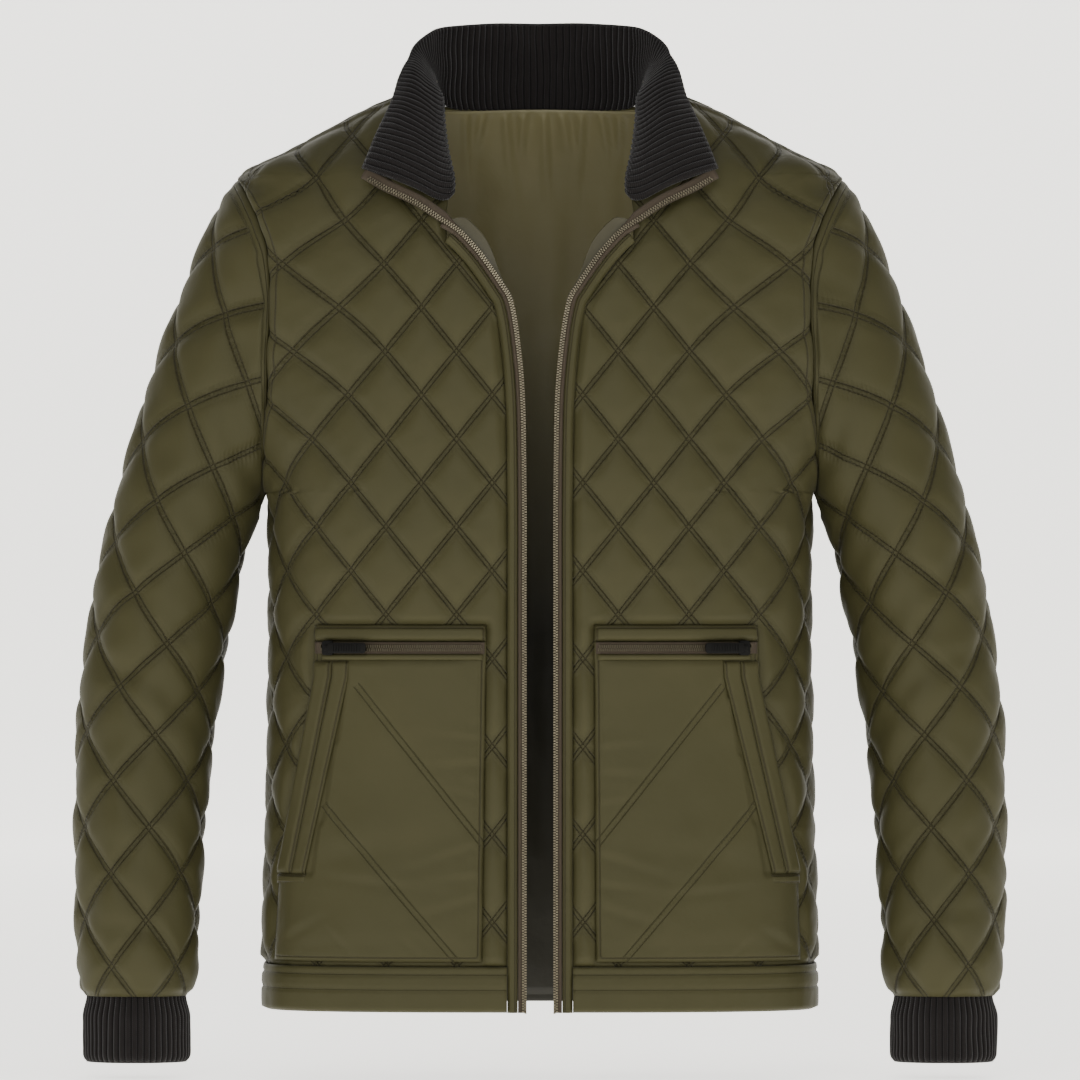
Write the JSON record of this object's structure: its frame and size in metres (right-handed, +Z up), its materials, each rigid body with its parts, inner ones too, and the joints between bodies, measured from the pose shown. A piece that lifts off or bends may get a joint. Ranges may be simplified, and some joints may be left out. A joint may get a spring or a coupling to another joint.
{
  "type": "quilted jacket",
  "caption": "Quilted jacket with ribbed stand collar and cuffs, open front zip, hem band and zipped patch pockets, filled out as if worn",
  "frame": {"origin": "the middle of the neck, level with the back neck seam, where the wearer's neck and shoulders hold the jacket", "axes": "+Z up along the length, +X to the wearer's left, +Y to the back, so the front faces -Y"},
  "size_m": [0.7042, 0.2558, 0.7858],
  "materials": {
    "shell": "quilted olive nylon with a soft sheen",
    "lining": "satin olive lining",
    "rib_knit": "charcoal rib knit",
    "zip_tape": "brown woven tape",
    "zip_metal": "antique metal zip teeth",
    "zip_black": "black coated zip slider and pull"
  },
  "bodies": {
    "jacket": {"back": "shell", "collar": "rib_knit", "cuff_left": "rib_knit", "cuff_right": "rib_knit", "facing_left": "lining", "facing_right": "lining", "front_left": "shell", "front_right": "shell", "hem_back": "shell", "hem_left": "shell", "hem_right": "shell", "lining_back": "lining", "placket_left": "shell", "placket_right": "shell", "pocket_band_left": "shell", "pocket_band_right": "shell", "pocket_left": "shell", "pocket_lip_left": "shell", "pocket_lip_right": "shell", "pocket_right": "shell", "pocket_slider_left": "zip_black", "pocket_slider_right": "zip_black", "pocket_teeth_left": "zip_metal", "pocket_teeth_right": "zip_metal", "sleeve_left": "shell", "sleeve_right": "shell", "welt_inner_left": "shell", "welt_inner_right": "shell", "welt_outer_left": "shell", "welt_outer_right": "shell", "zip_tape_left": "zip_tape", "zip_tape_right": "zip_tape", "zip_teeth_left": "zip_metal", "zip_teeth_right": "zip_metal"},
    "pull_left": {"pocket_pull_left": "zip_black"},
    "pull_right": {"pocket_pull_right": "zip_black"}
  },
  "joints": [
    {"name": "pocket_pull_swing_left", "type": "hinge", "parent": "jacket", "child": "pull_left", "pos_m": [0.15181, -0.11156, -0.40903], "axis": [0, 0, 1], "range_deg": [0, 160]},
    {"name": "pocket_pull_swing_right", "type": "hinge", "parent": "jacket", "child": "pull_right", "pos_m": [-0.15802, -0.10851, -0.40902], "axis": [0, 0, -1], "range_deg": [0, 160]}
  ]
}
